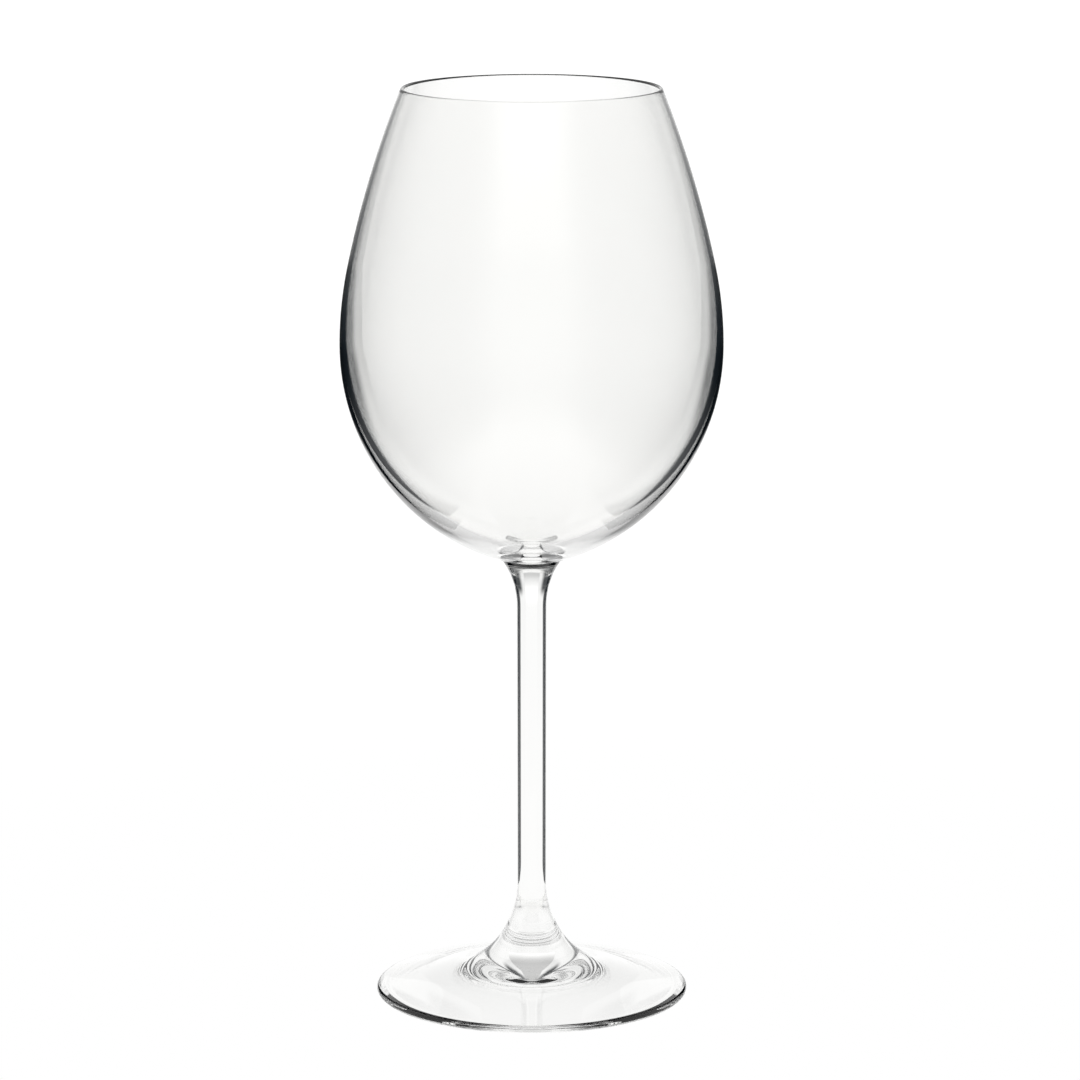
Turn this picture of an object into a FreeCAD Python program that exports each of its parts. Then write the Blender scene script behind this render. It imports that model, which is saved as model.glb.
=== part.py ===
import FreeCAD, Part
import Sketcher
import math
import os

# A stemmed wine glass in clear glass: a blown bowl, a drawn stem and a spun
# foot, welded end to end. The frame stands on the table: origin at the centre
# of the foot's resting ring, +Z up the axis of revolution. Millimetres.
# Every profile lies in its body's XZ plane (sketch x = radius, y = height)
# and is revolved about the axis.

DIMENSIONS = (
    # alias, value, what it is
    ("glass_height", 225.0, "table to the top of the lip"),
    ("lip_radius", 31.2, "axis to the middle of the lip"),
    ("lip_round", 0.46, "half the wall at the fire-polished lip"),
    ("belly_radius", 46.67, "largest outside radius of the bowl"),
    ("belly_height", 162.3, "height of that largest radius"),
    ("belly_wall", 1.5, "wall at the belly"),
    ("inside_lift", 1.9, "how much higher the bowl is widest inside than outside"),
    ("shoulder_curve", 94.3, "radius of the outside arc above the belly"),
    ("upper_curve", 260.0, "radius of the outside arc up to the lip"),
    ("well_height", 112.2, "height of the lowest point inside the bowl"),
    ("well_curve", 28.0, "radius of the rounded floor of the bowl"),
    ("bowl_seat", 109.4, "height of the weld between bowl and stem"),
    ("bowl_seat_radius", 7.4, "radius of that weld"),
    ("stem_top_flare", 98.0, "height where the upper flare starts"),
    ("stem_top_radius", 3.66, "radius of the shank under the upper flare"),
    ("stem_low_flare", 27.5, "height where the lower flare starts"),
    ("stem_low_radius", 3.60, "radius of the shank above the lower flare"),
    ("foot_seat", 17.1, "height of the weld between stem and foot"),
    ("foot_seat_radius", 6.1, "radius of that weld"),
    ("foot_radius", 38.5, "outside radius of the foot"),
    ("foot_edge_round", 0.95, "radius of the foot's rounded edge"),
    ("foot_sweep", 20.0, "radius of the hollow sweep from boss to disc"),
    ("foot_sweep_end", 20.0, "distance from the axis where that sweep ends"),
    ("foot_ring_radius", 35.5, "inside radius of the flat resting ring"),
    ("foot_hollow", 5.5, "height of the hollow under the middle of the foot"),
)

START, END, CENTRE = 1, 2, 3
VALUE = {alias: value for alias, value, _ in DIMENSIONS}


def make_sheet(doc):
    sheet = doc.addObject("Spreadsheet::Sheet", "dims")
    for row, (alias, value, note) in enumerate(DIMENSIONS, start=1):
        sheet.set("A%d" % row, note)
        sheet.set("B%d" % row, str(value))
        sheet.setAlias("B%d" % row, alias)
    doc.recompute()
    return sheet


def line(x0, y0, x1, y1):
    return Part.LineSegment(FreeCAD.Vector(x0, y0, 0), FreeCAD.Vector(x1, y1, 0))


def arc(centre_x, centre_y, radius, from_degrees, to_degrees):
    """A counter-clockwise arc about a centre."""
    circle = Part.Circle(FreeCAD.Vector(centre_x, centre_y, 0),
                         FreeCAD.Vector(0, 0, 1), radius)
    return Part.ArcOfCircle(circle, math.radians(from_degrees),
                            math.radians(to_degrees))


class Profile:
    """A closed half section on a body's XZ plane, its sizes tied to the sheet."""

    def __init__(self, doc, label):
        self.body = doc.addObject("PartDesign::Body", label)
        self.body.Label = label
        self.sketch = self.body.newObject("Sketcher::SketchObject",
                                          label + "_profile")
        plane = next(f for f in self.body.Origin.OriginFeatures
                     if f.Role == "XZ_Plane")
        self.sketch.AttachmentSupport = (plane, [""])
        self.sketch.MapMode = "FlatFace"

    def add(self, geometry):
        return self.sketch.addGeometry(geometry, False)

    def rule(self, *args):
        return self.sketch.addConstraint(Sketcher.Constraint(*args))

    def size(self, name, expression, kind, *where):
        """A dimension whose value is an expression of the sheet's cells."""
        start = abs(measure(expression))
        index = self.rule(kind, *where, start)
        self.sketch.renameConstraint(index, name)
        self.sketch.setExpression("Constraints." + name, cells(expression))

    def point(self, name, geometry, end, x, y):
        """Puts one end, or the centre, of a curve at (x, y)."""
        if x == "0":
            self.rule("PointOnObject", geometry, end, -2)
        else:
            self.size(name + "_x", x, "DistanceX", -1, 1, geometry, end)
        if y == "0":
            self.rule("PointOnObject", geometry, end, -1)
        else:
            self.size(name + "_y", y, "DistanceY", -1, 1, geometry, end)

    def level(self, first, first_end, second, second_end):
        self.rule("Horizontal", first, first_end, second, second_end)

    def join(self, first, first_end, second, second_end):
        self.rule("Coincident", first, first_end, second, second_end)

    def smooth(self, first, first_end, second, second_end):
        self.rule("Tangent", first, first_end, second, second_end)

    def revolve(self, label):
        turned = self.body.newObject("PartDesign::Revolution", label + "_turned")
        turned.Profile = self.sketch
        turned.ReferenceAxis = (self.sketch, ["V_Axis"])
        turned.Angle = 360.0
        self.sketch.Visibility = False
        self.body.Tip = turned
        return self.body


def measure(expression):
    """The expression's value, to start the sketch near its solution."""
    words = expression.replace("-", " - ").replace("+", " + ").split()
    total, sign = 0.0, 1.0
    for word in words:
        if word in "+-":
            sign = 1.0 if word == "+" else -1.0
        else:
            total += sign * VALUE[word]
    return total


def cells(expression):
    words = expression.replace("-", " - ").replace("+", " + ").split()
    return " ".join(w if w in "+-" else "<<dims>>." + w for w in words)


def make_bowl(doc):
    """Outside: seat, lower arc, shoulder arc, upper arc, lip. Inside: the same
    back down, closing on a rounded floor that leaves a thick base of glass."""
    v = VALUE
    profile = Profile(doc, "bowl")
    belly, level = v["belly_radius"], v["belly_height"]
    rise = level - v["bowl_seat"]
    run = belly - v["bowl_seat_radius"]
    low = (rise ** 2 + run ** 2) / (2 * run)
    down = math.degrees(math.atan2(rise, low - run))
    inner, inner_level = belly - v["belly_wall"], level + v["inside_lift"]
    floor = v["well_curve"]
    depth = inner_level - v["well_height"]
    lift = depth - floor
    side = (floor ** 2 - inner ** 2 - lift ** 2) / (2 * (floor - inner))
    turn = math.degrees(math.atan2(lift, side - inner))
    lip_level = v["glass_height"] - v["lip_round"]
    shoulder, upper = v["shoulder_curve"], v["upper_curve"]

    seat = profile.add(line(0, v["bowl_seat"], v["bowl_seat_radius"], v["bowl_seat"]))
    lower = profile.add(arc(belly - low, level, low, -down, 0))
    rounding = profile.add(arc(belly - shoulder, level, shoulder, 0, 12))
    wall = profile.add(arc(belly - shoulder - 162, level - 34, upper, 12, 22))
    lip = profile.add(arc(v["lip_radius"], lip_level, v["lip_round"], 20, 200))
    wall_in = profile.add(arc(inner - shoulder - 162, inner_level - 34, upper, 12, 22))
    rounding_in = profile.add(arc(inner - shoulder, inner_level, shoulder, 0, 12))
    side_in = profile.add(arc(inner - side, inner_level, side, -turn, 0))
    floor_in = profile.add(arc(0, v["well_height"] + floor, floor, -90, -turn))
    core = profile.add(line(0, v["well_height"], 0, v["bowl_seat"]))

    profile.join(seat, END, lower, START)
    profile.smooth(lower, END, rounding, START)
    profile.smooth(rounding, END, wall, START)
    profile.smooth(wall, END, lip, START)
    profile.smooth(lip, END, wall_in, END)
    profile.smooth(wall_in, START, rounding_in, END)
    profile.smooth(rounding_in, START, side_in, END)
    profile.smooth(side_in, START, floor_in, END)
    profile.join(floor_in, START, core, START)
    profile.join(core, END, seat, START)
    profile.rule("Horizontal", seat)
    profile.rule("Vertical", core)

    profile.point("axis", seat, START, "0", "bowl_seat")
    profile.size("seat_radius", "bowl_seat_radius", "DistanceX", -1, 1, seat, END)
    profile.point("belly", lower, END, "belly_radius", "belly_height")
    profile.level(lower, CENTRE, lower, END)
    profile.size("shoulder", "shoulder_curve", "Radius", rounding)
    profile.size("upper", "upper_curve", "Radius", wall)
    profile.point("lip", lip, CENTRE, "lip_radius", "glass_height - lip_round")
    profile.size("lip_bead", "lip_round", "Radius", lip)
    profile.point("belly_in", side_in, END, "belly_radius - belly_wall",
                  "belly_height + inside_lift")
    profile.level(side_in, CENTRE, side_in, END)
    profile.size("shoulder_in", "shoulder_curve - belly_wall", "Radius",
                 rounding_in)
    profile.size("upper_in", "upper_curve - belly_wall", "Radius", wall_in)
    profile.rule("PointOnObject", floor_in, CENTRE, -2)
    profile.size("floor_low", "well_height", "DistanceY", -1, 1, floor_in, START)
    profile.size("floor_curve", "well_curve", "Radius", floor_in)
    return profile.revolve("bowl")


def make_stem(doc):
    """A near-straight shank that flares at both ends into its welds."""
    v = VALUE
    profile = Profile(doc, "stem")

    def flare(high, wide, foot_of_flare, narrow):
        """Radius of an arc that leaves the shank upright and ends at a weld."""
        rise, run = abs(high - foot_of_flare), wide - narrow
        return (rise ** 2 + run ** 2) / (2 * run)

    r_up = flare(v["bowl_seat"], v["bowl_seat_radius"],
                 v["stem_top_flare"], v["stem_top_radius"])
    r_low = flare(v["foot_seat"], v["foot_seat_radius"],
                  v["stem_low_flare"], v["stem_low_radius"])
    sweep_up = math.degrees(math.asin((v["bowl_seat"] - v["stem_top_flare"]) / r_up))
    sweep_low = math.degrees(math.asin((v["stem_low_flare"] - v["foot_seat"]) / r_low))

    base = profile.add(line(0, v["foot_seat"], v["foot_seat_radius"], v["foot_seat"]))
    low = profile.add(arc(v["stem_low_radius"] + r_low, v["stem_low_flare"], r_low,
                          180, 180 + sweep_low))
    shank = profile.add(line(v["stem_low_radius"], v["stem_low_flare"],
                             v["stem_top_radius"], v["stem_top_flare"]))
    high = profile.add(arc(v["stem_top_radius"] + r_up, v["stem_top_flare"], r_up,
                           180 - sweep_up, 180))
    top = profile.add(line(v["bowl_seat_radius"], v["bowl_seat"], 0, v["bowl_seat"]))
    core = profile.add(line(0, v["bowl_seat"], 0, v["foot_seat"]))

    profile.join(base, END, low, END)
    profile.smooth(low, START, shank, START)
    profile.smooth(shank, END, high, END)
    profile.join(high, START, top, START)
    profile.join(top, END, core, START)
    profile.join(core, END, base, START)
    profile.rule("Horizontal", base)
    profile.rule("Horizontal", top)
    profile.rule("Vertical", core)

    profile.point("axis", base, START, "0", "foot_seat")
    profile.size("base_radius", "foot_seat_radius", "DistanceX", -1, 1, base, END)
    profile.point("shank_low", shank, START, "stem_low_radius", "stem_low_flare")
    profile.point("shank_high", shank, END, "stem_top_radius", "stem_top_flare")
    profile.point("top", top, START, "bowl_seat_radius", "bowl_seat")
    return profile.revolve("stem")


def make_foot(doc):
    """A boss that sweeps down into a thin, slightly conical disc with a rounded
    edge. Underneath, a flat resting ring surrounds a shallow hollow."""
    v = VALUE
    profile = Profile(doc, "foot")
    edge = v["foot_edge_round"]
    edge_x = v["foot_radius"] - edge
    ring, hollow = v["foot_ring_radius"], v["foot_hollow"]
    dome = (ring ** 2 + hollow ** 2) / (2 * hollow)
    spread = math.degrees(math.asin(ring / dome))
    slope = 11.0
    sweep = v["foot_sweep"]
    turn_x, turn_y = v["foot_sweep_end"], 4.5
    centre_x = turn_x + sweep * math.sin(math.radians(slope))
    centre_y = turn_y + sweep * math.cos(math.radians(slope))

    rest = profile.add(line(ring, 0, edge_x, 0))
    rim = profile.add(arc(edge_x, edge, edge, -90, 90 - slope))
    cone = profile.add(line(edge_x, 2 * edge, turn_x, turn_y))
    boss = profile.add(arc(centre_x, centre_y, sweep, 213, 270 - slope))
    top = profile.add(line(v["foot_seat_radius"], v["foot_seat"], 0, v["foot_seat"]))
    core = profile.add(line(0, v["foot_seat"], 0, hollow))
    under = profile.add(arc(0, hollow - dome, dome, 90 - spread, 90))

    profile.smooth(rest, END, rim, START)
    profile.smooth(rim, END, cone, START)
    profile.smooth(cone, END, boss, END)
    profile.join(boss, START, top, START)
    profile.join(top, END, core, START)
    profile.join(core, END, under, END)
    profile.join(under, START, rest, START)
    profile.rule("Horizontal", top)
    profile.rule("Vertical", core)

    profile.point("ring", rest, START, "foot_ring_radius", "0")
    profile.rule("PointOnObject", rest, END, -1)
    profile.size("edge_round", "foot_edge_round", "Radius", rim)
    profile.size("edge_x", "foot_radius - foot_edge_round", "DistanceX",
                 -1, 1, rim, CENTRE)
    profile.size("sweep", "foot_sweep", "Radius", boss)
    profile.size("sweep_end", "foot_sweep_end", "DistanceX", -1, 1, boss, END)
    profile.point("seat", top, START, "foot_seat_radius", "foot_seat")
    profile.point("hollow", under, END, "0", "foot_hollow")
    profile.rule("PointOnObject", under, CENTRE, -2)
    return profile.revolve("foot")


def check(doc, bodies):
    """Stops before anything is written if the document or a solid is bad."""
    for item in doc.Objects:
        if "Invalid" in item.State or "Error" in item.State:
            raise RuntimeError("%s failed: %s" % (item.Label, item.State))
    for body in bodies:
        shape = body.Shape
        if shape.isNull() or not shape.isValid() or len(shape.Solids) != 1:
            raise RuntimeError("%s is not one valid solid" % body.Label)
        if not body.Group[0].FullyConstrained:
            raise RuntimeError("%s has a loose profile" % body.Label)
        box = shape.optimalBoundingBox()
        print("%-5s r %.2f  z %.2f to %.2f  %.2f cm3" % (
            body.Label, box.XMax, box.ZMin, box.ZMax, shape.Volume / 1000))


def main():
    doc = FreeCAD.newDocument("wine_glass")
    make_sheet(doc)
    bodies = [make_foot(doc), make_stem(doc), make_bowl(doc)]
    doc.recompute()
    check(doc, bodies)
    os.makedirs("parts", exist_ok=True)
    for body in bodies:
        body.Shape.exportStep("parts/%s.step" % body.Label)


main()
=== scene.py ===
import math

import bpy
from bpy.props import FloatProperty, FloatVectorProperty, IntProperty, PointerProperty
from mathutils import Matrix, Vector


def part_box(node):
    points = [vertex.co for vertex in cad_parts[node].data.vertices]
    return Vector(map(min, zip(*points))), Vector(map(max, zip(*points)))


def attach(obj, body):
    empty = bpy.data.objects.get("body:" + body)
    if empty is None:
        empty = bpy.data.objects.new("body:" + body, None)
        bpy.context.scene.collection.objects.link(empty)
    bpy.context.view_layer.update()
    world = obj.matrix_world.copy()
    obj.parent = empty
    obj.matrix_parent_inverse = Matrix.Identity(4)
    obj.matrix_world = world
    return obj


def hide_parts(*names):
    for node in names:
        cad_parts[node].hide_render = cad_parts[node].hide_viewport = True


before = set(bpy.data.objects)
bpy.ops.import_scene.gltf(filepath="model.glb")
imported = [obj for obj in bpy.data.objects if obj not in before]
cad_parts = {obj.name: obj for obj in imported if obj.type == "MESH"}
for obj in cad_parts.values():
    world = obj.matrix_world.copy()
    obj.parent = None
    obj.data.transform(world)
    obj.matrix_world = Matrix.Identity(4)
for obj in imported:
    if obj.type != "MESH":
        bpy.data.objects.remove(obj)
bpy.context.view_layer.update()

bl_info = {
    "name": "Stemmed Wine Glass",
    "version": (1, 0, 0),
    "blender": (4, 5, 0),
    "location": "View3D > Sidebar > Wine Glass",
    "description": "Builds a clear stemmed wine glass and its bright studio",
    "category": "Add Mesh",
}

BOWL, STEM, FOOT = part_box("bowl"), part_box("stem"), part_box("foot")
MM = 0.001
TINY = 1e-7            # shorter than this is no distance at all

# How many parts each run of an outline is divided into.
OUTSIDE_STEPS, INSIDE_STEPS, LIP_STEPS, FLOOR_STEPS = 64, 56, 12, 40
FLARE_STEPS, SHANK_STEPS = 28, 24
HOLLOW_STEPS, RING_STEPS, RIM_STEPS, CONE_STEPS, SWEEP_STEPS = 40, 4, 20, 16, 60

SHARP_ANGLE = math.radians(32)           # weld rims stay sharp, all else is smooth
SHOULDER_TURN = (0.05, 0.4)              # least and most turn of the shoulder arc
CONE_SLOPE = (math.radians(3), math.radians(20))    # least and most fall of the foot
HALVINGS = 60                            # rounds of a bisection
WAVE_LENGTH = 28 * MM                    # of the slow waviness in the glass

# The stage, in metres.
TABLE_HALF, TABLE_DROP = 4.0, 0.2 * MM
TABLE_NEAR, TABLE_FAR = 0.20, 0.90       # the table brightens between these
FLAG_FRONT, FLAG_REAR = -0.200, 0.260
FLAG_TOP, CARD_TOP = 0.300, 0.420
ROOM_UP = 0.45                           # how far up the room light has paled


# ---------------------------------------------------------------- settings

class GlassSizes(bpy.types.PropertyGroup):
    lip_radius: FloatProperty(
        name="Lip radius", description="Axis to the middle of the lip",
        default=31.2 * MM, unit="LENGTH")
    lip_round: FloatProperty(
        name="Lip rounding", description="Half the wall at the fire-polished lip",
        default=0.46 * MM, unit="LENGTH")
    belly_height: FloatProperty(
        name="Belly height", description="Height of the widest part of the bowl",
        default=162.3 * MM, unit="LENGTH")
    belly_wall: FloatProperty(
        name="Belly wall", description="Wall at the widest part of the bowl",
        default=1.5 * MM, unit="LENGTH")
    inside_lift: FloatProperty(
        name="Inside lift", description="How far the widest inside is above the belly",
        default=1.9 * MM, unit="LENGTH")
    shoulder_curve: FloatProperty(
        name="Shoulder curve", description="Radius of the outside arc above the belly",
        default=94.3 * MM, unit="LENGTH")
    upper_curve: FloatProperty(
        name="Upper curve", description="Radius of the outside arc up to the lip",
        default=260.0 * MM, unit="LENGTH")
    well_height: FloatProperty(
        name="Well height", description="Height of the lowest point inside the bowl",
        default=112.2 * MM, unit="LENGTH")
    well_curve: FloatProperty(
        name="Well curve", description="Radius of the rounded floor of the bowl",
        default=28.0 * MM, unit="LENGTH")
    seat_radius: FloatProperty(
        name="Bowl weld radius", description="Radius of the weld under the bowl",
        default=7.4 * MM, unit="LENGTH")
    shank_top: FloatProperty(
        name="Shank top", description="Height where the upper flare starts",
        default=98.0 * MM, unit="LENGTH")
    shank_top_radius: FloatProperty(
        name="Shank top radius",
        description="Radius of the shank under the upper flare",
        default=3.66 * MM, unit="LENGTH")
    shank_low: FloatProperty(
        name="Shank foot", description="Height where the lower flare starts",
        default=27.5 * MM, unit="LENGTH")
    shank_low_radius: FloatProperty(
        name="Shank foot radius",
        description="Radius of the shank above the lower flare",
        default=3.60 * MM, unit="LENGTH")
    foot_seat_radius: FloatProperty(
        name="Foot weld radius", description="Radius of the weld on the foot's boss",
        default=6.1 * MM, unit="LENGTH")
    foot_edge_round: FloatProperty(
        name="Foot edge rounding", description="Radius of the foot's rounded edge",
        default=0.95 * MM, unit="LENGTH")
    foot_sweep: FloatProperty(
        name="Foot sweep", description="Radius of the hollow sweep from boss to disc",
        default=20.0 * MM, unit="LENGTH")
    foot_sweep_end: FloatProperty(
        name="Sweep end", description="Distance from the axis where the sweep ends",
        default=20.0 * MM, unit="LENGTH")
    foot_ring_radius: FloatProperty(
        name="Resting ring", description="Inside radius of the flat resting ring",
        default=35.5 * MM, unit="LENGTH")
    foot_hollow: FloatProperty(
        name="Foot hollow", description="Height of the hollow under the foot",
        default=5.5 * MM, unit="LENGTH")
    segments: IntProperty(
        name="Segments", description="Faces round the axis", default=288, min=48)


class StudioSettings(bpy.types.PropertyGroup):
    distance: FloatProperty(
        name="Camera distance",
        description="Level distance from the axis to the camera",
        default=1.195, unit="LENGTH")
    height: FloatProperty(
        name="Camera height", description="Height of the camera over the table",
        default=0.3535, unit="LENGTH")
    tilt: FloatProperty(
        name="Camera tilt", description="How far the camera looks down",
        default=math.radians(11.33), subtype="ANGLE", unit="ROTATION")
    pan: FloatProperty(
        name="Camera pan", description="How far the camera looks to the right",
        default=math.radians(0.098), subtype="ANGLE", unit="ROTATION")
    lens: FloatProperty(
        name="Lens", description="Focal length on a 36 mm sensor", default=166.0)
    table_level: FloatProperty(
        name="Table", description="Brightness of the opal table top", default=1.12)
    near_level: FloatProperty(
        name="Table at the glass", description="Brightness of the table at the glass",
        default=1.0)
    room_level: FloatProperty(
        name="Room", description="Brightness of the soft light overhead",
        default=0.60)
    flag_distance: FloatProperty(
        name="Flag distance", description="Distance from the axis to a side flag",
        default=72 * MM, unit="LENGTH")
    # The painted shade: the bluish near-black colour the flags glow where they stand
    # in for shade.
    flag_shade_colour: FloatVectorProperty(
        name="Flag shade colour", description="Colour of the flags where they are darkest",
        default=(0.010, 0.014, 0.018), size=3, subtype="COLOR")


# ---------------------------------------------------------------- small tools

def linear(hex_colour):
    """An sRGB hex colour as the linear colour a shader socket takes."""
    channels = [int(hex_colour[i:i + 2], 16) / 255 for i in (1, 3, 5)]
    return tuple(c / 12.92 if c <= 0.04045 else ((c + 0.055) / 1.055) ** 2.4
                 for c in channels) + (1.0,)


def add_node(tree, kind, values=None, links=None, **settings):
    """Adds a node, sets its options and input values, and links its inputs."""
    node = tree.nodes.new(kind)
    for key, value in settings.items():
        setattr(node, key, value)
    for key, value in (values or {}).items():
        node.inputs[key].default_value = value
    for key, socket in (links or {}).items():
        tree.links.new(socket, node.inputs[key])
    return node


def new_material(name):
    material = bpy.data.materials.new(name)
    material.use_nodes = True
    material.node_tree.nodes.clear()
    return material


def arc(centre, radius, start, end, steps):
    """Points from angle start to angle end, both kept."""
    return [(centre[0] + radius * math.cos(start + (end - start) * i / steps),
             centre[1] + radius * math.sin(start + (end - start) * i / steps))
            for i in range(steps + 1)]


def line(start, stop, steps):
    """Evenly spaced points from start to stop, both kept."""
    return [(start[0] + (stop[0] - start[0]) * i / steps,
             start[1] + (stop[1] - start[1]) * i / steps) for i in range(steps + 1)]


def bisect(gap, low, high):
    """The angle between low and high at which gap changes sign."""
    rising = gap(high) > 0
    for _ in range(HALVINGS):
        middle = (low + high) / 2
        if (gap(middle) > 0) == rising:
            high = middle
        else:
            low = middle
    return (low + high) / 2


def chain(*runs):
    """Joins runs of points, dropping the point each shares with the last."""
    points = []
    for run in runs:
        start = 1 if points and math.dist(points[-1], run[0]) < TINY else 0
        points.extend(run[start:])
    return points


def turn(name, outline, segments, welds, glass):
    """Revolves a half section that starts and ends on the axis into a closed
    mesh. Flat runs at a height in welds get the second material, because fused
    glass has no surface there, and their rims stay sharp."""
    vertices, rings = [], []
    for radius, height in outline:
        if radius < TINY:
            rings.append([len(vertices)])
            vertices.append((0.0, 0.0, height))
        else:
            rings.append(list(range(len(vertices), len(vertices) + segments)))
            vertices.extend((radius * math.cos(math.tau * i / segments),
                             radius * math.sin(math.tau * i / segments), height)
                            for i in range(segments))
    faces, weld_faces = [], []
    for (low, high), (first, last) in zip(zip(rings, rings[1:]),
                                          zip(outline, outline[1:])):
        flat = any(abs(first[1] - w) < TINY and abs(last[1] - w) < TINY
                   for w in welds)
        for i in range(segments):
            j = (i + 1) % segments
            corners = ([low[i], low[j]] if len(low) > 1 else [low[0]])
            corners += ([high[j], high[i]] if len(high) > 1 else [high[0]])
            faces.append(corners)
            weld_faces.append(flat)
    mesh = bpy.data.meshes.new(name)
    mesh.from_pydata(vertices, [], faces)
    mesh.validate()
    mesh.materials.append(glass)
    mesh.materials.append(weld_material())
    for polygon, flat in zip(mesh.polygons, weld_faces):
        polygon.use_smooth = True
        polygon.material_index = 1 if flat else 0
    mesh.set_sharp_from_angle(angle=SHARP_ANGLE)
    piece = bpy.data.objects.new(name, mesh)
    bpy.context.collection.objects.link(piece)
    return piece


# ---------------------------------------------------------------- materials

def glass_material(name, waviness, grain):
    """Fire-polished soda-lime crystal, blown or drawn: colourless and clear with
    a breath of grey in the thick parts. Forming leaves no grain, only a slow
    waviness a few centimetres long that makes the reflections swim."""
    material = bpy.data.materials.get(name)
    if material:
        return material
    material = new_material(name)
    tree = material.node_tree
    place = add_node(tree, "ShaderNodeTexCoord").outputs["Object"]
    stretched = add_node(tree, "ShaderNodeMapping", {"Scale": grain},
                         {"Vector": place}).outputs["Vector"]
    waves = add_node(tree, "ShaderNodeTexNoise",
                     {"Scale": 1 / WAVE_LENGTH, "Detail": 1.0, "Roughness": 0.4},
                     {"Vector": stretched})
    bump = add_node(tree, "ShaderNodeBump",
                    {"Strength": 1.0, "Distance": waviness},
                    {"Height": waves.outputs["Fac"]})
    shader = add_node(tree, "ShaderNodeBsdfPrincipled",
                      {"Base Color": linear("#FDFDFC"), "Roughness": 0.0,
                       "IOR": 1.52, "Transmission Weight": 1.0},
                      {"Normal": bump.outputs["Normal"]})
    add_node(tree, "ShaderNodeOutputMaterial", links={"Surface": shader.outputs[0]})
    return material


def weld_material():
    """The fused joint between two pieces of the same glass: light goes straight
    through, so it shows nothing."""
    material = bpy.data.materials.get("fused glass weld")
    if material:
        return material
    material = new_material("fused glass weld")
    tree = material.node_tree
    clear = add_node(tree, "ShaderNodeBsdfTransparent")
    add_node(tree, "ShaderNodeOutputMaterial", links={"Surface": clear.outputs[0]})
    return material


# ---------------------------------------------------------------- outlines

def wall_line(belly, level, shoulder, upper, lip, reach, low_centre, low_radius,
              low_end, steps):
    """The bowl's wall from low_end up to the lip as three tangent arcs. reach is
    the distance from the upper arc's centre to the lip's centre."""
    shoulder_centre = (belly - shoulder, level)

    def upper_centre(angle):
        return (shoulder_centre[0] + (shoulder - upper) * math.cos(angle),
                shoulder_centre[1] + (shoulder - upper) * math.sin(angle))

    meet = bisect(lambda a: math.dist(upper_centre(a), lip) - reach,
                  *SHOULDER_TURN)
    centre = upper_centre(meet)
    top = math.atan2(lip[1] - centre[1], lip[0] - centre[0])
    low_start = math.asin((low_end - low_centre[1]) / low_radius)
    return chain(arc(low_centre, low_radius, low_start, 0.0, steps),
                 arc(shoulder_centre, shoulder, 0.0, meet, steps // 2),
                 arc(centre, upper, meet, top, steps)), top


def bowl_outline(s):
    """Weld disc, outside wall, rounded lip, inside wall and rounded floor."""
    belly, seat, top = BOWL[1].x, BOWL[0].z, BOWL[1].z
    level, lip = s.belly_height, (s.lip_radius, top - s.lip_round)
    rise, run = level - seat, belly - s.seat_radius
    low = (rise ** 2 + run ** 2) / (2 * run)
    outside, out_turn = wall_line(
        belly, level, s.shoulder_curve, s.upper_curve, lip,
        s.upper_curve - s.lip_round, (belly - low, level), low, seat, OUTSIDE_STEPS)
    inner, inner_level = belly - s.belly_wall, level + s.inside_lift
    lift = inner_level - s.well_height - s.well_curve
    side = ((s.well_curve ** 2 - inner ** 2 - lift ** 2)
            / (2 * (s.well_curve - inner)))
    turn_down = math.atan2(lift, side - inner)
    floor_centre = (0.0, s.well_height + s.well_curve)
    side_low = inner_level - side * math.sin(turn_down)
    upper_in = s.upper_curve - s.belly_wall
    inside, in_turn = wall_line(
        inner, inner_level, s.shoulder_curve - s.belly_wall, upper_in, lip,
        upper_in + s.lip_round, (inner - side, inner_level), side, side_low,
        INSIDE_STEPS)
    rounded = arc(lip, s.lip_round, out_turn, in_turn + math.pi, LIP_STEPS)
    floor = arc(floor_centre, s.well_curve, -turn_down, -math.pi / 2, FLOOR_STEPS)
    floor[-1] = (0.0, floor[-1][1])
    weld = [(0.0, seat), (s.seat_radius, seat)]
    return chain(weld, outside, rounded, inside[::-1], floor)


def stem_outline(s):
    """Lower weld, lower flare, near-straight shank, upper flare, upper weld."""
    low, high = STEM[0].z, STEM[1].z

    def flare(shank_radius, shank_height, weld_radius, weld_height):
        rise, run = weld_height - shank_height, weld_radius - shank_radius
        radius = (rise ** 2 + run ** 2) / (2 * run)
        bend = math.asin(rise / radius)
        return arc((shank_radius + radius, shank_height), radius,
                   math.pi, math.pi - bend, FLARE_STEPS)

    lower = flare(s.shank_low_radius, s.shank_low, s.foot_seat_radius, low)
    upper = flare(s.shank_top_radius, s.shank_top, s.seat_radius, high)
    shank = line((s.shank_low_radius, s.shank_low), (s.shank_top_radius, s.shank_top),
                 SHANK_STEPS)
    return chain([(0.0, low), (s.foot_seat_radius, low)], lower[::-1], shank,
                 upper, [(s.seat_radius, high), (0.0, high)])


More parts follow.
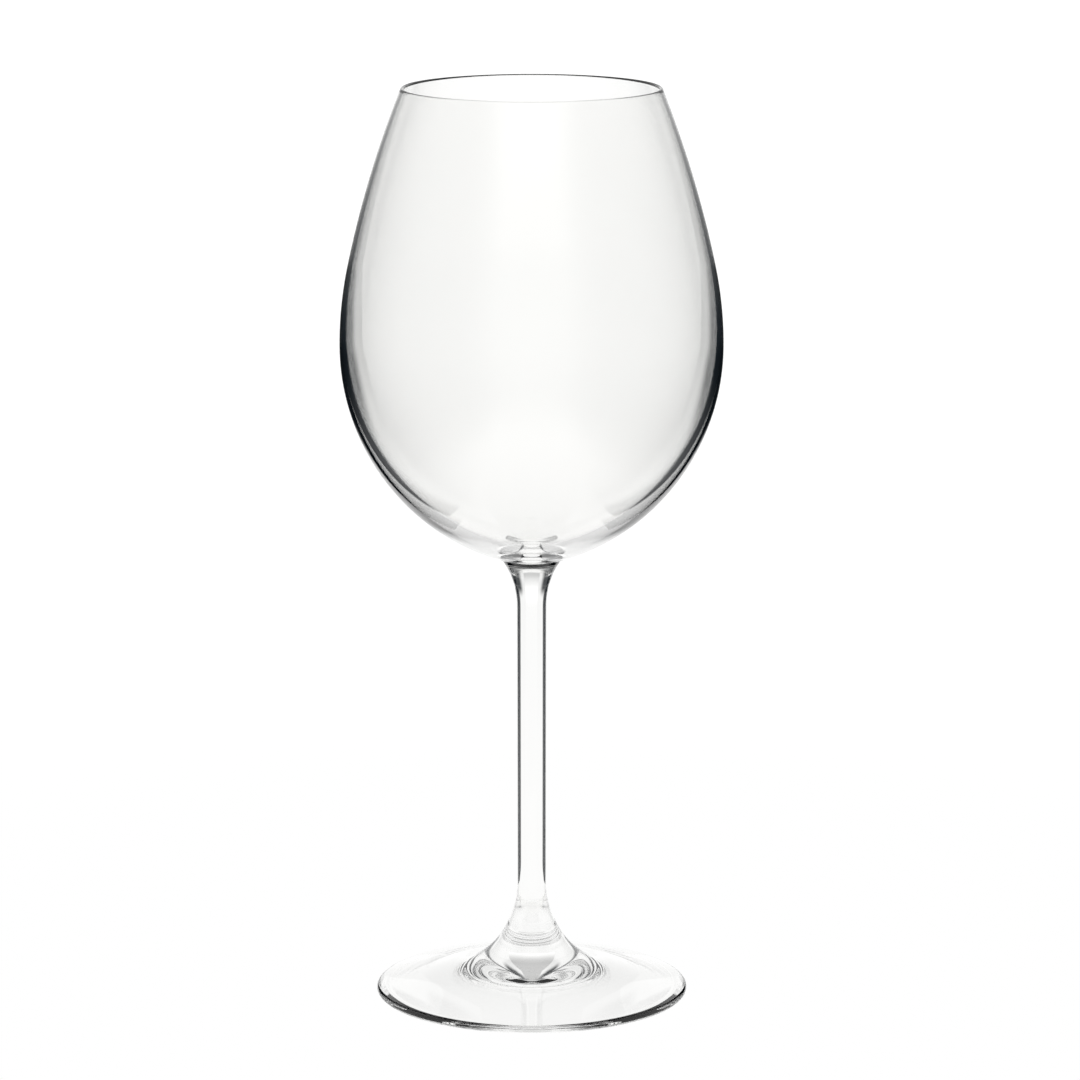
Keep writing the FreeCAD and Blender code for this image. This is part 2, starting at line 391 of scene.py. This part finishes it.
def foot_outline(s):
    """Hollow underside, flat resting ring, rounded edge, cone, sweep and weld."""
    edge = s.foot_edge_round
    rim_x = FOOT[1].x - edge
    ring, hollow = s.foot_ring_radius, s.foot_hollow
    seat = FOOT[1].z
    dome = (ring ** 2 + hollow ** 2) / (2 * hollow)
    spread = math.asin(ring / dome)
    under = arc((0.0, hollow - dome), dome, math.pi / 2, math.pi / 2 - spread,
                HOLLOW_STEPS)
    under[0] = (0.0, hollow)

    def sweep_centre(slope):
        """Centre of the sweep if the cone falls at this slope."""
        end = s.foot_sweep_end
        normal = (math.sin(slope), math.cos(slope))
        fall = (end - (rim_x + edge * normal[0])) * -math.tan(slope)
        height = edge + edge * normal[1] + fall
        return (end + s.foot_sweep * normal[0], height + s.foot_sweep * normal[1])

    seat_point = (s.foot_seat_radius, seat)
    slope = bisect(lambda a: math.dist(sweep_centre(a), seat_point) - s.foot_sweep,
                   *CONE_SLOPE)
    centre = sweep_centre(slope)
    first = math.atan2(seat - centre[1], s.foot_seat_radius - centre[0]) % math.tau
    rim = arc((rim_x, edge), edge, -math.pi / 2, math.pi / 2 - slope, RIM_STEPS)
    sweep = arc(centre, s.foot_sweep, 1.5 * math.pi - slope, first, SWEEP_STEPS)
    cone = line(rim[-1], sweep[0], CONE_STEPS)
    flat = line((ring, 0.0), (rim_x, 0.0), RING_STEPS)
    return chain(under, flat, rim, cone, sweep, [seat_point, (0.0, seat)])


# ---------------------------------------------------------------- operators

def take_place(piece, node):
    """The piece stands for its CAD node and moves with the glass."""
    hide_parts(node)
    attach(piece, "root")


class GLASS_OT_bowl(bpy.types.Operator):
    """Builds the blown bowl with its thin lip and thick rounded floor"""
    bl_idname = "wineglass.bowl"
    bl_label = "Bowl"

    def execute(self, context):
        s = context.scene.glass_sizes
        glass = glass_material("blown soda-lime crystal", 0.010 * MM, (1, 1, 0.6))
        piece = turn("bowl_glass", bowl_outline(s), s.segments, [BOWL[0].z], glass)
        take_place(piece, "bowl")
        return {"FINISHED"}


class GLASS_OT_stem(bpy.types.Operator):
    """Builds the drawn stem with a flare at each end"""
    bl_idname = "wineglass.stem"
    bl_label = "Stem"

    def execute(self, context):
        s = context.scene.glass_sizes
        glass = glass_material("drawn soda-lime crystal", 0.004 * MM, (3, 3, 0.3))
        piece = turn("stem_glass", stem_outline(s), s.segments // 2,
                     [STEM[0].z, STEM[1].z], glass)
        take_place(piece, "stem")
        return {"FINISHED"}


class GLASS_OT_foot(bpy.types.Operator):
    """Builds the spun foot with its rounded edge and hollow underside"""
    bl_idname = "wineglass.foot"
    bl_label = "Foot"

    def execute(self, context):
        s = context.scene.glass_sizes
        glass = glass_material("spun soda-lime crystal", 0.010 * MM, (1, 1, 1))
        piece = turn("foot_glass", foot_outline(s), s.segments, [FOOT[1].z], glass)
        take_place(piece, "foot")
        return {"FINISHED"}


def sheet(name, corners, material):
    """A flat four-cornered sheet of the stage."""
    mesh = bpy.data.meshes.new(name)
    mesh.from_pydata(corners, [], [(0, 1, 2, 3)])
    mesh.materials.append(material)
    piece = bpy.data.objects.new(name, mesh)
    bpy.context.collection.objects.link(piece)
    return piece


def table_material(near, far):
    """A lit opal sheet, without a highlight and a little brighter away from the
    glass, where the lamps under it are."""
    material = new_material("opal acrylic, lit")
    tree = material.node_tree
    place = add_node(tree, "ShaderNodeTexCoord").outputs["Object"]
    reach = add_node(tree, "ShaderNodeVectorMath", links={0: place},
                     operation="LENGTH").outputs["Value"]
    level = add_node(tree, "ShaderNodeMapRange",
                     {"From Min": TABLE_NEAR, "From Max": TABLE_FAR,
                      "To Min": near, "To Max": far},
                     {"Value": reach}, interpolation_type="SMOOTHSTEP")
    glow = add_node(tree, "ShaderNodeEmission", {"Color": linear("#FFFFFF")},
                    {"Strength": level.outputs[0]})
    add_node(tree, "ShaderNodeOutputMaterial", links={"Surface": glow.outputs[0]})
    return material


def painted_flag_material(dark):
    """Glowing sheets beside and before the glass that paint the light and shade it
    refracts: painted shade, in the dark colour, over most of each sheet, and painted
    light that pales it softly to white towards its rear, upper and low front edges. In
    front of the glass, where depth is below zero, the upper painted light starts
    higher and the lower one ends lower the nearer the sheet comes to the camera."""
    material = new_material("flag sheets, painted light and shade")
    tree = material.node_tree
    place = add_node(tree, "ShaderNodeTexCoord").outputs["Object"]
    axes = add_node(tree, "ShaderNodeSeparateXYZ", links={0: place})
    depth = axes.outputs["Y"]
    nearer = add_node(tree, "ShaderNodeMath", {1: 0.0}, {0: depth},
                      operation="MINIMUM").outputs[0]
    upper = add_node(tree, "ShaderNodeMath", {1: 0.6},
                     {0: nearer, 2: axes.outputs["Z"]},
                     operation="MULTIPLY_ADD").outputs[0]
    lower = add_node(tree, "ShaderNodeMath", {1: -0.35},
                     {0: nearer, 2: axes.outputs["Z"]},
                     operation="MULTIPLY_ADD").outputs[0]

    def ramp(value, start, end, low=0.0, high=1.0):
        """Eases from low to high as value goes from start to end, in metres."""
        return add_node(tree, "ShaderNodeMapRange",
                        {"From Min": start, "From Max": end, "To Min": low,
                         "To Max": high},
                        {"Value": value},
                        interpolation_type="SMOOTHSTEP").outputs[0]

    def combine(operation, first, second):
        return add_node(tree, "ShaderNodeMath", links={0: first, 1: second},
                        operation=operation).outputs[0]

    # Behind the glass the painted dark ends sooner below the bowl than beside it, so
    # that the stem's edges stay thin.
    low_rear = ramp(depth, 0.085, 0.105, 1.0, 0.0)
    high_rear = combine("MULTIPLY", ramp(depth, 0.120, 0.200, 1.0, 0.12),
                        ramp(lower, 0.085, 0.120))
    rear = combine("MAXIMUM", low_rear, high_rear)
    top = ramp(upper, 0.150, 0.290, 1.0, 0.35)
    low_front = combine("MULTIPLY", ramp(depth, 0.050, 0.020),
                        ramp(lower, 0.150, 0.060))
    front = add_node(tree, "ShaderNodeMath", {1: -0.9, 2: 1.0}, {0: low_front},
                     operation="MULTIPLY_ADD").outputs[0]
    near = ramp(depth, FLAG_FRONT, -0.020, 0.6, 1.0)
    # shade mixes the painted shade (the dark colour, at 1) with painted white light
    # (at 0).
    shade = combine("MULTIPLY", combine("MULTIPLY", rear, top),
                    combine("MULTIPLY", front, near))
    colour = add_node(tree, "ShaderNodeMix",
                      {"A": linear("#FFFFFF"), "B": (*dark, 1.0)},
                      {"Factor": shade}, data_type="RGBA")
    glow = add_node(tree, "ShaderNodeEmission", {"Strength": 1.0},
                    {"Color": colour.outputs["Result"]})
    add_node(tree, "ShaderNodeOutputMaterial", links={"Surface": glow.outputs[0]})
    return material


class GLASS_OT_studio(bpy.types.Operator):
    """Sets the camera, the opal table, the soft room light and the flags of painted
    light and shade
    """
    bl_idname = "wineglass.studio"
    bl_label = "Studio"

    def execute(self, context):
        s = context.scene.glass_studio
        scene = context.scene
        camera = bpy.data.objects.new("camera", bpy.data.cameras.new("camera"))
        context.collection.objects.link(camera)
        camera.location = (0.0, -s.distance, s.height)
        camera.rotation_euler = (math.pi / 2 - s.tilt, 0.0, -s.pan)
        camera.data.lens = s.lens
        camera.data.sensor_width = 36.0
        camera.data.clip_start, camera.data.clip_end = 0.01, 50.0
        scene.camera = camera
        context.view_layer.update()
        stand = camera.matrix_world.inverted()

        half = TABLE_HALF
        table = sheet("opal_table", [(-half, -half, 0), (half, -half, 0),
                                     (half, half, 0), (-half, half, 0)],
                      table_material(s.near_level, s.table_level))
        table.location.z = -TABLE_DROP

        # The flags and the card glow with painted light and shade; they move with the
        # camera and are hidden from it.
        painted_flags = painted_flag_material(s.flag_shade_colour)
        x, front, rear = s.flag_distance, FLAG_FRONT, FLAG_REAR
        for name, first, last, top in (
                ("left_flag", (-x, front), (-x, rear), FLAG_TOP),
                ("right_flag", (x, front), (x, rear), FLAG_TOP),
                ("front_card", (-x, front), (x, front), CARD_TOP)):
            flag = sheet(name, [(*first, 0.0), (*last, 0.0), (*last, top),
                                (*first, top)], painted_flags)
            flag.parent = camera
            flag.matrix_parent_inverse = stand
            flag.visible_camera = False

        world = bpy.data.worlds.new("studio")
        scene.world = world
        world.use_nodes = True
        tree = world.node_tree
        tree.nodes.clear()
        up = add_node(tree, "ShaderNodeSeparateXYZ", links={
            0: add_node(tree, "ShaderNodeTexCoord").outputs["Generated"]}).outputs["Z"]
        level = add_node(tree, "ShaderNodeMapRange",
                         {"From Min": 0.0, "From Max": ROOM_UP,
                          "To Min": s.table_level, "To Max": s.room_level},
                         {"Value": up}, interpolation_type="SMOOTHSTEP")
        glow = add_node(tree, "ShaderNodeBackground", {"Color": linear("#FFFFFF")},
                        {"Strength": level.outputs[0]})
        add_node(tree, "ShaderNodeOutputWorld", links={"Surface": glow.outputs[0]})

        scene.view_settings.view_transform = "Standard"
        scene.view_settings.look = "None"
        scene.cycles.max_bounces = 24
        scene.cycles.transmission_bounces = 24
        scene.cycles.glossy_bounces = 12
        scene.cycles.transparent_max_bounces = 32
        scene.cycles.use_denoising = True
        return {"FINISHED"}


class GLASS_PT_sidebar(bpy.types.Panel):
    """Lists the settings and the steps"""
    bl_label = "Wine Glass"
    bl_idname = "GLASS_PT_sidebar"
    bl_space_type = "VIEW_3D"
    bl_region_type = "UI"
    bl_category = "Wine Glass"

    def draw(self, context):
        for group in (context.scene.glass_sizes, context.scene.glass_studio):
            box = self.layout.box()
            for name in group.bl_rna.properties.keys():
                if name not in {"rna_type", "name"}:
                    box.prop(group, name)
        for step in STEPS:
            self.layout.operator(step.bl_idname)


STEPS = (GLASS_OT_bowl, GLASS_OT_stem, GLASS_OT_foot, GLASS_OT_studio)
CLASSES = (GlassSizes, StudioSettings, *STEPS, GLASS_PT_sidebar)


def register():
    for each in CLASSES:
        bpy.utils.register_class(each)
    bpy.types.Scene.glass_sizes = PointerProperty(type=GlassSizes)
    bpy.types.Scene.glass_studio = PointerProperty(type=StudioSettings)


def unregister():
    del bpy.types.Scene.glass_studio
    del bpy.types.Scene.glass_sizes
    for each in reversed(CLASSES):
        bpy.utils.unregister_class(each)


def main():
    register()
    bpy.ops.wineglass.bowl()
    bpy.ops.wineglass.stem()
    bpy.ops.wineglass.foot()
    bpy.ops.wineglass.studio()


if __name__ == "__main__":
    main()
